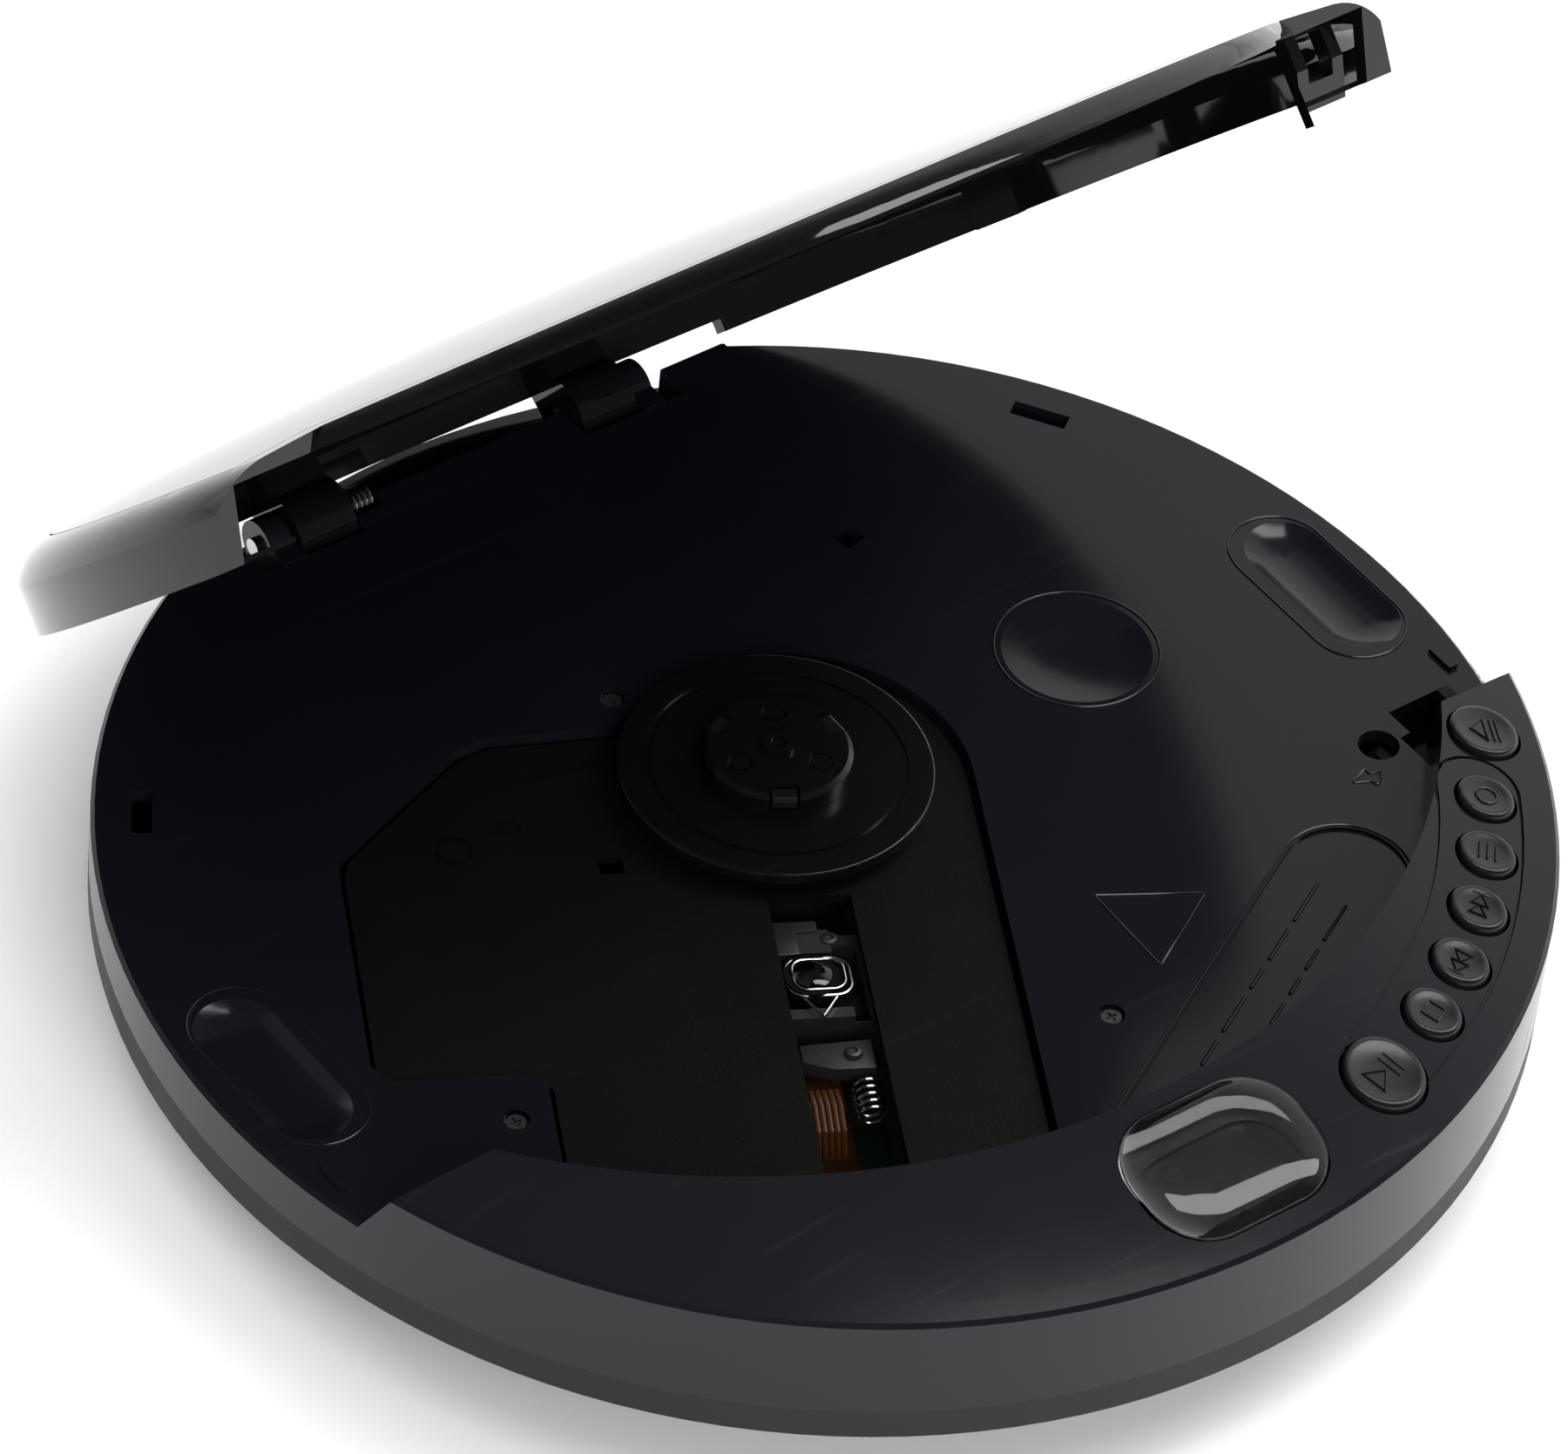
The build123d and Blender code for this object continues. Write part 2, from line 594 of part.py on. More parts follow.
# ---------------------------------------------------------------- drive mechanism (spindle at 0,0)
def mechanism_cover():
    face = offset(opening_outline(COVER_END), -0.6)
    top = prism(face, DECK_Z - 2.0, DECK_Z - 1.0)
    skirt = prism(face - offset(face, -1.0), DECK_Z - 4.4, DECK_Z - 1.9)
    skirt -= block((-60, 40), (-80, -48), (0, 40))
    cover = top + skirt
    cover -= disc(12.6, DECK_Z - 6, DECK_Z)
    cover -= block((-3.0, 5.2), (-60, -15.4), (DECK_Z - 6, DECK_Z))
    cover -= Pos(-17.4, -9.9, DECK_Z) * Box(2.4, 2.4, 8)
    cover -= disc(2.1, DECK_Z - 1.25, DECK_Z, -32.6, -6.8) - disc(1.3, DECK_Z - 3, DECK_Z, -32.6, -6.8)
    for u, v, length, turn in ((-27.1, -4.1, 3.4, 0), (-19.9, 3.9, 9.0, 12)):
        cover -= prism(Pos(u, v) * Rot(0, 0, turn) * SlotOverall(length, 1.6), DECK_Z - 1.25, DECK_Z)
    return cover


def mechanism_chassis():
    plate = disc(16.5, 8.0, 9.2) + block((-17, 18.6), (CHASSIS_END, -6), (8.0, 9.2))
    plate -= disc(3.0, 7, 10)
    plate -= block((-8.4, 6.0), (-62, -16), (7, 10))
    for u in ROD_U:
        for v in ((CHASSIS_END, CHASSIS_END + 1.8), (-14.8, -12.8)):
            post = block((u - 2.1, u + 2.1), v, (9.0, 13.9))
            plate += post - rod_v(ROD_R, -80, 0, u, ROD_Z)
    plate += block((SCREW_U - 1.8, SCREW_U + 1.8), (-13.9, -12.6), (9.0, 15.2))
    plate -= rod_v(1.05, -14.2, -12.0, SCREW_U, SCREW_Z)
    return plate


def guide_rods():
    return group([rod_v(ROD_R, CHASSIS_END + 0.2, -12.9, u, ROD_Z) for u in ROD_U])


def chassis_dampers():
    pads = []
    for u, v in ((-13.5, -9.0), (15.6, -9.0), (-13.5, -58.0), (13.5, -58.0)):
        pads.append(disc(2.0, 5.05, 7.95, u, v))
    return group(pads)


def spindle_motor():
    can = disc(MOTOR_R, 9.3, 14.6)
    can = fillet(can.edges().group_by(Axis.Z)[-1], 0.8)
    return can - disc(1.1, 5, 20)


def turntable():
    plate = disc(TURNTABLE_R, DECK_Z + 0.9, DECK_Z + 2.0)
    plate = fillet(plate.edges().group_by(Axis.Z)[-1], 0.3)
    plate -= disc(MAT_R[1], DECK_Z + 1.75, DECK_Z + 3) - disc(MAT_R[0], DECK_Z, DECK_Z + 3)
    collar = disc(4.0, DECK_Z - 2.4, DECK_Z + 1.0)
    return plate + collar - disc(PIN_R, 0, 40)


def spindle_shaft():
    return disc(PIN_R, 9.6, DECK_Z + 3.0)


def spindle_hub():
    hub = disc(HUB_R, DECK_Z + 2.05, HUB_TOP)
    hub = chamfer(hub.edges().group_by(Axis.Z)[-1], 0.5)
    hub += disc(1.7, DECK_Z + 4.3, DECK_Z + 4.9)
    hub -= disc(0.8, DECK_Z + 4.6, DECK_Z + 6)
    hub -= disc(PIN_R, 0, DECK_Z + 3.0)
    for k in range(3):
        turn = Rot(0, 0, HUB_TURN + 120 * k)
        hub -= turn * block((5.6, 8.0), (-1.5, 1.5), (DECK_Z + 2.6, DECK_Z + 5))
        hub -= turn * Rot(0, 0, 60) * disc(1.25, DECK_Z + 3.9, DECK_Z + 5, HUB_SCREW_AT, 0)
    return hub


def hub_clips():
    clips = []
    for k in range(3):
        body = block((5.8, HUB_R - 0.05), (-1.2, 1.2), (DECK_Z + 2.75, DECK_Z + 4.1))
        clips.append(Rot(0, 0,
            HUB_TURN + 120 * k) * fillet(body.edges().filter_by(Axis.Y).sort_by(Axis.X)[-2:], 0.5))
    return group(clips)


def hub_screws():
    screws = []
    for k in range(3):
        head = disc(1.05, DECK_Z + 3.9, DECK_Z + 4.35, HUB_SCREW_AT, 0)
        screws.append(Rot(0, 0, HUB_TURN + 60 + 120 * k) * head)
    return group(screws)


def laser_sled():
    body = block(SLED_U, SLED_V, SLED_Z)
    body = fillet(body.edges().filter_by(Axis.Z), 1.2)
    for u in ROD_U:
        body -= rod_v(ROD_R + 0.06, -80, 0, u, ROD_Z)
    body -= block((-5.6, 5.2), (LENS_V - 4.6, LENS_V + 5.6), (12.4, 17))
    body -= disc(3.4, 9, 17, 0, LENS_V)
    return body


def feed_nut():
    return block((SLED_U[1], 13.1), (LENS_V + 3, LENS_V + 6.8), (12.4, 14.4))


def feed_screw():
    core = rod_v(1.0, -55.6, -12.7, SCREW_U, SCREW_Z)
    for k in range(19):
        core -= Pos(SCREW_U, -53.0 + THREAD_PITCH * k, SCREW_Z) * Rot(90, 0, 0) * Torus(1.12, 0.22)
    return core


def feed_motor():
    can = rod_v(3.7, -65.6, -56.0, SCREW_U, SCREW_Z)
    return can - rod_v(1.1, -60, -50, SCREW_U, SCREW_Z)


def lens_holder():
    ring = disc(2.7, 14.6, 17.4, 0, LENS_V)
    plate = block((-4.9, 4.5), (LENS_V - 3.2, LENS_V + 3.2), (13.2, 15.0))
    return plate + ring - disc(LENS_R + 0.05, 10, 20, 0, LENS_V)


def objective_lens():
    bead = disc(LENS_R, 16.0, 17.6, 0, LENS_V)
    dome = Pos(0, LENS_V, 14.2) * Sphere(3.9) & disc(LENS_R, 17.5, 19, 0, LENS_V)
    return bead + dome


def lens_cover():
    """Bracket over the coils, open round the lens, held by two screws."""
    plate = block((-2.6, 3.6), (LENS_V - 4.8, LENS_V - 3.5), (15.5, 16.4))
    back = block((-2.6, 2.6), (LENS_V + 3.9, LENS_V + 7.0), (15.5, 16.4))
    return group([plate, back])


def sled_spring():
    rings = [Pos(1.6, LENS_V - 5.2 - 0.75 * k, 15.2) * Rot(90, 0, 0) * Torus(1.3, 0.24) for k in range(4)]
    return group(rings)


def flex_cable():
    """Flat printed cable below the sled's way, from the board to under the sled."""
    strip = block((-5.0, 3.0), (-60.0, -20.0), (6.9, 7.1))
    down = block((-5.0, 3.0), (-60.2, -60.0), (5.05, 7.1))
    return strip + down


# ---------------------------------------------------------------- lid (drawn shut)
def lid_shell():
    shell = lid_volume() - lid_volume(WALL, LID_FOOT - 5)
    shell -= block((-EAR_X, EAR_X), (-80, END_Y + 1.9), (0, LIP_FOOT))
    shell -= block((-NOTCH_X, NOTCH_X), (60, 80), (0, LID_FOOT + 1.4))
    recess = lid_volume(0) - lid_volume(0.8)
    shell -= recess & inlay_column(RING_R)
    for side in (-1, 1):
        tab = tab_place(side, DECK_Z + 3.2) * Box(5.3, 1.4, 10.4)
        shell += tab & lid_volume(0.5)
    shell += both_sides(lid_arm())
    return shell - rod_x(PIN_R + 0.05, -30, 30, HINGE_Y, HINGE_Z)


def inlay_column(radius):
    low, high = DECK_Z + 6.2, DECK_Z + 20
    gap = RING_R - radius
    front = disc(CRES_ARC_R - LID_GAP - LIP_ROLL - gap, low, high, 0, CRES_ARC_Y)
    return disc(radius, low, high) & (front + block((-80, 80), (-20.4 + gap, 80), (low, high)))


def lid_inlay():
    return (lid_volume(0) - lid_volume(0.75)) & inlay_column(RING_R - 0.25)


def lid_arm():
    """Knuckle and arm of the lid, on the right."""
    knuckle = rod_x(KNUCKLE_R, KNUCKLE_X[0], KNUCKLE_X[1], HINGE_Y, HINGE_Z)
    side = Polyline(
        (HINGE_Y - 1.5, HINGE_Z + 3.0),
        (HINGE_Y + 3.9, HINGE_Z + 0.4),
        (BODY_R - WALL - 1.2, DECK_Z + 4.2),
        (BODY_R - WALL - 1.2, DECK_Z + 8.5),
        (HINGE_Y + 0.6, DECK_Z + 9.5),
        close=True)
    face = make_face(Plane.YZ.offset(KNUCKLE_X[0]) * side)
    web = extrude(face, KNUCKLE_X[1] - KNUCKLE_X[0], dir=(1, 0, 0))
    return knuckle + (web & lid_volume(0.4, DECK_Z - 10))


def latch_hook():
    frame = block(LATCH_X, HOOK_Y, (HOOK_FOOT, DECK_Z + 9.5))
    frame -= block((59.5, 62.5), (-25, -10), (HOOK_BAR_TOP, DECK_Z + 6.8))
    return frame & lid_volume(WALL, 0)


def hinge_pins():
    left = rod_x(PIN_R, -24.0, -10.0, HINGE_Y, HINGE_Z)
    right = rod_x(PIN_R, 13.6, 24.0, HINGE_Y, HINGE_Z)
    return group([left, right])


def lid_spring():
    rings = [Pos(-10.5 - 0.62 * k, HINGE_Y, HINGE_Z) * Rot(0, 90, 0) * Torus(1.55, 0.28) for k in range(5)]
    return group(rings)


# ---------------------------------------------------------------- all nodes
def all_nodes():
    nodes = {
        "lower_case": lower_case(),
        "upper_case": upper_case(),
        "battery_door": battery_door(),
        "display_window": display_window(),
        "display_module": display_module(),
        "control_board": control_board(),
        "key_switches": key_switches(),
        "battery_cells": battery_cells(),
        "battery_contacts": battery_contacts(),
        "battery_springs": battery_springs(),
        "rubber_feet": rubber_feet(),
        "case_screws": case_screws(),
        "deck_screws": deck_screws(),
        "headphone_jack": headphone_jack(),
        "dc_jack": dc_jack(),
        "volume_wheel": volume_wheel(),
        "volume_pot": volume_pot(),
        "hold_switch": hold_switch(),
        "main_board": main_board(),
        "board_chips": board_chips(),
        "latch_slider": latch_slider(),
        "latch_spring": latch_spring(),
        "lid_switch": lid_switch(),
        "hinge_pins": hinge_pins(),
        "lid_spring": lid_spring(),
    }
    mechanism = {
        "mechanism_cover": mechanism_cover(),
        "mechanism_chassis": mechanism_chassis(),
        "guide_rods": guide_rods(),
        "chassis_dampers": chassis_dampers(),
        "spindle_motor": spindle_motor(),
        "turntable": turntable(),
        "spindle_shaft": spindle_shaft(),
        "spindle_hub": spindle_hub(),
        "hub_clips": hub_clips(),
        "hub_screws": hub_screws(),
        "laser_sled": laser_sled(),
        "feed_nut": feed_nut(),
        "feed_screw": feed_screw(),
        "feed_motor": feed_motor(),
        "lens_holder": lens_holder(),
        "objective_lens": objective_lens(),
        "lens_cover": lens_cover(),
        "sled_spring": sled_spring(),
        "flex_cable": flex_cable(),
    }
    nodes.update({name: MECH * solid for name, solid in mechanism.items()})
    for name, (radius, angle, key_r) in KEYS.items():
        nodes[name] = open_button() if name == "open_button" else key_top(radius, angle, key_r)
    for name, solid in (("lid_shell", lid_shell()), ("lid_inlay", lid_inlay()), ("latch_hook", latch_hook())):
        nodes[name] = lid_pose(solid)
    return nodes


os.makedirs("parts", exist_ok=True)
for name, solid in all_nodes().items():
    export_step(solid, f"parts/{name}.step")
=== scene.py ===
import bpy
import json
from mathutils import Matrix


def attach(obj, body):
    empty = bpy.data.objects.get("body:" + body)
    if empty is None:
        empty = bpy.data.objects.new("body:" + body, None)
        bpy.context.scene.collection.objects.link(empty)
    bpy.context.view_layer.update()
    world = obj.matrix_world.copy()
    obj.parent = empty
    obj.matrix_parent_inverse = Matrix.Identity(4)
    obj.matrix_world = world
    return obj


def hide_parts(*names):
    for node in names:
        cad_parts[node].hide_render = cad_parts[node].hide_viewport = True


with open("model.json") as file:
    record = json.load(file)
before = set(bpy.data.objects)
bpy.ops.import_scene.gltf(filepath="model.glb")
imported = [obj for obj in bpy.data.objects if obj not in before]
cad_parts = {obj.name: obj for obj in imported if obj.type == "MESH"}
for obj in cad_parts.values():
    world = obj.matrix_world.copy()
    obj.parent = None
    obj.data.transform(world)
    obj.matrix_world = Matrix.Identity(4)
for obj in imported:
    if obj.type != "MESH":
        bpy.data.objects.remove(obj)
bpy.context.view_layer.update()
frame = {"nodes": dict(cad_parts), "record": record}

# Looks of a round portable disc player with its lid open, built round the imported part.

import json
import logging
import math
from collections.abc import Callable, Sequence
from dataclasses import dataclass
from enum import Enum

import bmesh
import bpy
from mathutils import Matrix, Vector

LOG = logging.getLogger("disc_player")
MM = 0.001
DECK_Z = 19.2
TURN = math.radians(-28.0)
SPINDLE_Y = 8.1

Point = tuple[float, float, float]
Colour = tuple[float, float, float]


class Slot(Enum):
    """The record's material slots that new pieces take their finish from."""

    CASE = "case_gloss_navy"
    BASE = "case_matte_grey"
    LID = "lid_gloss_black"
    KEY = "key_black"
    MECHANISM = "mechanism_matte_black"
    TURNTABLE = "turntable_black"
    WINDOW = "window_clear"
    DISPLAY = "display_grey"
    LENS = "lens_glass"
    STEEL = "steel_bright"
    SCREW = "screw_dark"
    SLED = "sled_grey"
    CHASSIS = "chassis_steel"
    FLEX = "flex_amber"
    BOARD = "board_green"
    CHIP = "chip_black"
    RUBBER = "rubber_black"
    CELL = "cell_skin"
    CONTACT = "contact_nickel"
    NUT = "nut_white"


class Glyph(Enum):
    """Plain marks moulded on the keys."""

    EJECT = "eject"
    RING = "ring"
    BARS = "bars"
    SKIP_FORWARD = "skip_forward"
    SKIP_BACK = "skip_back"
    STOP = "stop"
    PLAY = "play"


@dataclass(frozen=True)
class Finish:
    """One procedural finish: mottled colour, uneven gloss, fine grain and wear."""

    colour: Colour
    second: Colour
    roughness: tuple[float, float]
    grain: float = 0.02
    grain_scale: float = 2500.0
    mottle_scale: float = 60.0
    wear: float = 0.08
    metallic: float = 0.0
    specular: float = 0.5
    coat: float = 0.0
    transmission: float = 0.0
    ior: float = 1.5

    def build(self, name: str) -> bpy.types.Material:
        """Makes the material.

        Args:
            name: Name of the new material.

        Returns:
            The material, with its node tree filled in.
        """
        material = bpy.data.materials.new(name)
        material.use_nodes = True
        tree = material.node_tree
        shader = tree.nodes["Principled BSDF"]
        shader.inputs["Metallic"].default_value = self.metallic
        shader.inputs["Specular IOR Level"].default_value = self.specular
        shader.inputs["Coat Weight"].default_value = self.coat
        shader.inputs["Coat Roughness"].default_value = 0.03
        shader.inputs["Transmission Weight"].default_value = self.transmission
        shader.inputs["IOR"].default_value = self.ior
        place = tree.nodes.new("ShaderNodeTexCoord").outputs["Object"]
        mottle = self._noise(tree, place, self.mottle_scale, 4.0)
        scuffs = self._scuffs(tree, place)
        base = self._mix(tree, mottle, self.colour, self.second)
        worn = self._blend(tree, scuffs, base, tuple(min(1.0, c * 1.8 + 0.012) for c in self.second))
        tree.links.new(worn, shader.inputs["Base Color"])
        tree.links.new(self._gloss(tree, place, scuffs), shader.inputs["Roughness"])
        bump = tree.nodes.new("ShaderNodeBump")
        bump.inputs["Strength"].default_value = self.grain
        bump.inputs["Distance"].default_value = 0.00008
        tree.links.new(self._noise(tree, place, self.grain_scale, 2.0), bump.inputs["Height"])
        tree.links.new(bump.outputs["Normal"], shader.inputs["Normal"])
        return material

    @staticmethod
    def _noise(tree: bpy.types.NodeTree, place: bpy.types.NodeSocket, scale: float,
               detail: float) -> bpy.types.NodeSocket:
        """Adds a noise texture.

        Args:
            tree: Node tree to add to.
            place: Coordinates that it reads.
            scale: Noise cells per metre.
            detail: Octaves.

        Returns:
            The noise value's socket.
        """
        noise = tree.nodes.new("ShaderNodeTexNoise")
        noise.inputs["Scale"].default_value = scale
        noise.inputs["Detail"].default_value = detail
        tree.links.new(place, noise.inputs["Vector"])
        return noise.outputs["Fac"]

    def _scuffs(self, tree: bpy.types.NodeTree, place: bpy.types.NodeSocket) -> bpy.types.NodeSocket:
        """Adds fine handling marks, mostly clear of the surface.

        Args:
            tree: Node tree to add to.
            place: Coordinates that they read.

        Returns:
            A socket that is 0 on a clean surface.
        """
        stretch = tree.nodes.new("ShaderNodeMapping")
        stretch.inputs["Rotation"].default_value = (0.4, 0.2, 0.9)
        stretch.inputs["Scale"].default_value = (30.0, 900.0, 200.0)
        tree.links.new(place, stretch.inputs["Vector"])
        streaks = self._noise(tree, stretch.outputs["Vector"], 1.0, 3.0)
        ramp = tree.nodes.new("ShaderNodeMapRange")
        ramp.inputs["From Min"].default_value = 0.62
        ramp.inputs["From Max"].default_value = 0.80
        ramp.inputs["To Max"].default_value = self.wear
        tree.links.new(streaks, ramp.inputs["Value"])
        return ramp.outputs["Result"]

    def _gloss(self, tree: bpy.types.NodeTree, place: bpy.types.NodeSocket,
               scuffs: bpy.types.NodeSocket) -> bpy.types.NodeSocket:
        """Adds the uneven roughness.

        Args:
            tree: Node tree to add to.
            place: Coordinates that it reads.
            scuffs: Marks that raise it.

        Returns:
            The roughness socket.
        """
        ramp = tree.nodes.new("ShaderNodeMapRange")
        ramp.inputs["To Min"].default_value = self.roughness[0]
        ramp.inputs["To Max"].default_value = self.roughness[1]
        tree.links.new(self._noise(tree, place, self.mottle_scale * 3.0, 3.0), ramp.inputs["Value"])
        add = tree.nodes.new("ShaderNodeMath")
        add.operation = "ADD"
        add.use_clamp = True
        tree.links.new(ramp.outputs["Result"], add.inputs[0])
        tree.links.new(scuffs, add.inputs[1])
        return add.outputs["Value"]

    @staticmethod
    def _mix(tree: bpy.types.NodeTree, factor: bpy.types.NodeSocket, first: Colour,
             second: Colour) -> bpy.types.NodeSocket:
        """Mixes two fixed colours.

        Args:
            tree: Node tree to add to.
            factor: Share of the second.
            first: Colour at 0.
            second: Colour at 1.

        Returns:
            The colour socket.
        """
        mix = tree.nodes.new("ShaderNodeMix")
        mix.data_type = "RGBA"
        mix.inputs[6].default_value = (*first, 1.0)
        mix.inputs[7].default_value = (*second, 1.0)
        tree.links.new(factor, mix.inputs[0])
        return mix.outputs[2]

    @staticmethod
    def _blend(tree: bpy.types.NodeTree, factor: bpy.types.NodeSocket, base: bpy.types.NodeSocket,
               over: Colour) -> bpy.types.NodeSocket:
        """Lays a fixed colour over another socket's.

        Args:
            tree: Node tree to add to.
            factor: Share of the colour laid over.
            base: Colour socket below.
            over: Colour above.

        Returns:
            The colour socket.
        """
        mix = tree.nodes.new("ShaderNodeMix")
        mix.data_type = "RGBA"
        mix.inputs[7].default_value = (*over, 1.0)
        tree.links.new(factor, mix.inputs[0])
        tree.links.new(base, mix.inputs[6])
        return mix.outputs[2]


FINISHES: dict[Slot, Finish] = {
    Slot.CASE: Finish((0.0042, 0.0042, 0.0068), (0.0056, 0.0055, 0.0084), (0.13, 0.18), 0.03, 900.0,
                      specular=0.34),
    Slot.BASE: Finish((0.012, 0.012, 0.013), (0.017, 0.017, 0.018), (0.42, 0.55), 0.25, 3500.0,
                      specular=0.2),
    Slot.LID: Finish((0.0030, 0.0026, 0.0026), (0.0040, 0.0036, 0.0036), (0.03, 0.06), 0.01, 700.0),
    Slot.KEY: Finish((0.0040, 0.0040, 0.0042), (0.0060, 0.0060, 0.0062), (0.22, 0.30), 0.10, 4000.0),
    Slot.MECHANISM: Finish((0.0020, 0.0020, 0.0020), (0.0034, 0.0033, 0.0031), (0.42, 0.54), 0.45, 4200.0,
                           specular=0.16),
    Slot.TURNTABLE: Finish((0.0018, 0.0018, 0.0019), (0.0030, 0.0030, 0.0031), (0.16, 0.26), 0.10, 2500.0),
    Slot.WINDOW: Finish((0.80, 0.84, 0.83), (0.86, 0.89, 0.88), (0.01, 0.03), 0.01, 500.0, wear=0.03,
                        transmission=1.0, ior=1.46),
    Slot.DISPLAY: Finish((0.022, 0.027, 0.025), (0.030, 0.036, 0.033), (0.22, 0.32), 0.02, 1500.0, specular=0.3),
    Slot.LENS: Finish((0.75, 0.80, 0.95), (0.82, 0.85, 0.98), (0.0, 0.02), 0.0, 500.0, wear=0.0,
                      transmission=1.0, ior=1.55),
    Slot.STEEL: Finish((0.55, 0.55, 0.54), (0.66, 0.65, 0.63), (0.14, 0.26), 0.05, metallic=1.0),
    Slot.SCREW: Finish((0.10, 0.10, 0.10), (0.16, 0.16, 0.16), (0.25, 0.40), 0.10, metallic=0.9),
    Slot.SLED: Finish((0.010, 0.010, 0.010), (0.016, 0.016, 0.016), (0.30, 0.45), 0.25, 3500.0),
    Slot.CHASSIS: Finish((0.10, 0.10, 0.10), (0.15, 0.15, 0.145), (0.30, 0.42), 0.10, metallic=0.9),
    Slot.FLEX: Finish((0.036, 0.011, 0.004), (0.060, 0.020, 0.006), (0.20, 0.34), 0.05, 1500.0),
    Slot.BOARD: Finish((0.006, 0.016, 0.010), (0.010, 0.024, 0.014), (0.30, 0.45), 0.10, 2500.0),
    Slot.CHIP: Finish((0.006, 0.006, 0.006), (0.010, 0.010, 0.010), (0.35, 0.5), 0.20, 3500.0),
    Slot.RUBBER: Finish((0.010, 0.010, 0.010), (0.015, 0.015, 0.015), (0.7, 0.85), 0.40, 3000.0),
    Slot.CELL: Finish((0.16, 0.17, 0.19), (0.22, 0.23, 0.25), (0.25, 0.35), 0.05, metallic=0.6),
    Slot.CONTACT: Finish((0.55, 0.53, 0.48), (0.65, 0.62, 0.56), (0.2, 0.3), 0.05, metallic=1.0),
    Slot.NUT: Finish((0.45, 0.44, 0.40), (0.52, 0.51, 0.47), (0.4, 0.5), 0.10, 2500.0),
}


class Paint:
    """Makes each finish once and hands it out."""

    made: dict[Slot, bpy.types.Material] = {}

    @classmethod
    def of(cls, slot: Slot) -> bpy.types.Material:
        """Returns the material of a slot, made on first use."""
        if slot not in cls.made:
            cls.made[slot] = FINISHES[slot].build(slot.value)
        return cls.made[slot]


class Shape:
    """Mesh building shared by the sub-assemblies, in millimetres."""

    @staticmethod
    def finish(name: str, mesh: bmesh.types.BMesh, body: str, slot: Slot,
               stands_for: Sequence[str] = ()) -> bpy.types.Object:
        """Turns a bmesh in millimetres into a dressed piece that rides on a body.

        Args:
            name: Name of the piece.
            mesh: Closed mesh, freed here.
            body: CAD body that carries it.
            slot: Finish it takes.
            stands_for: CAD nodes that it replaces.

        Returns:
            The new object.
        """
        bmesh.ops.recalc_face_normals(mesh, faces=mesh.faces)
        bmesh.ops.scale(mesh, vec=(MM, MM, MM), verts=mesh.verts)
        data = bpy.data.meshes.new(name)
        mesh.to_mesh(data)
        mesh.free()
        data.shade_smooth()
        data.set_sharp_from_angle(angle=math.radians(38))
        data.materials.append(Paint.of(slot))
        piece = bpy.data.objects.new(name, data)
        bpy.context.scene.collection.objects.link(piece)
        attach(piece, body)
        if stands_for:
            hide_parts(*stands_for)
        LOG.info("built %s on %s", name, body)
        return piece

    @staticmethod
    def loft(mesh: bmesh.types.BMesh, loops: Sequence[Sequence[Vector]], ring: bool = False) -> None:
        """Skins a stack of loops into a closed solid.

        Args:
            mesh: Mesh to add to.
            loops: Loops with one length, in order.
            ring: True joins the last loop to the first in place of end caps.
        """
        rows = [[mesh.verts.new(point) for point in loop] for loop in loops]
        pairs = list(zip(rows, rows[1:]))
        if ring:
            pairs.append((rows[-1], rows[0]))
        for low, high in pairs:
            count = len(low)
            for k in range(count):
                mesh.faces.new((low[k], low[(k + 1) % count], high[(k + 1) % count], high[k]))
        if not ring:
            mesh.faces.new(rows[0])
            mesh.faces.new(rows[-1])

    @staticmethod
    def sweep(mesh: bmesh.types.BMesh, path: Sequence[Vector], radius: float, closed: bool,
              sides: int = 8) -> None:
        """Runs a round section along a path.

        Args:
            mesh: Mesh to add to.
            path: Points of the centre line.
            radius: Radius of the section.
            closed: True if the path ends where it starts.
            sides: Sides of the section.
        """
        count = len(path)
        loops = []
        for k, point in enumerate(path):
            before = path[(k - 1) % count] if closed or k > 0 else point
            after = path[(k + 1) % count] if closed or k < count - 1 else point
            along = (after - before).normalized()
            hint = Vector((0, 0, 1)) if abs(along.z) < 0.9 else Vector((1, 0, 0))
            side = along.cross(hint).normalized()
            lift = side.cross(along).normalized()
            turns = [2 * math.pi * n / sides for n in range(sides)]
            loops.append([point + side * radius * math.cos(t) + lift * radius * math.sin(t) for t in turns])
        Shape.loft(mesh, loops, ring=closed)

    @staticmethod
    def slot_path(length: float, width: float, turn: float, centre: Point, count: int = 14) -> list[Vector]:
        """Round-ended outline lying flat.

        Args:
            length: Overall length.
            width: Overall width.
            turn: Turn about Z in degrees.
            centre: Middle of the outline.
            count: Points at each end.

        Returns:
            The outline's points.
        """
        reach = (length - width) / 2
        points = []
        for side, start in ((1, -90.0), (-1, 90.0)):
            for k in range(count):
                angle = math.radians(start + 180.0 * k / (count - 1))
                points.append(Vector((side * reach + math.cos(angle) * width / 2, math.sin(angle) * width / 2, 0)))
        spin = Matrix.Rotation(math.radians(turn), 3, "Z")
        return [spin @ point + Vector(centre) for point in points]

    @staticmethod
    def rounded(width: float, depth: float, corner: float, count: int = 10) -> list[Vector]:
        """Rounded rectangle lying flat round the origin.

        Args:
            width: Size along X.
            depth: Size along Y.
            corner: Corner radius.
            count: Points at each corner.

        Returns:
            The outline's points.
        """
        points = []
        for sx, sy, start in ((1, 1, 0), (-1, 1, 90), (-1, -1, 180), (1, -1, 270)):
            middle = Vector((sx * (width / 2 - corner), sy * (depth / 2 - corner), 0))
            for k in range(count):
                angle = math.radians(start + 90.0 * k / (count - 1))
                points.append(middle + Vector((math.cos(angle), math.sin(angle), 0)) * corner)
        return points

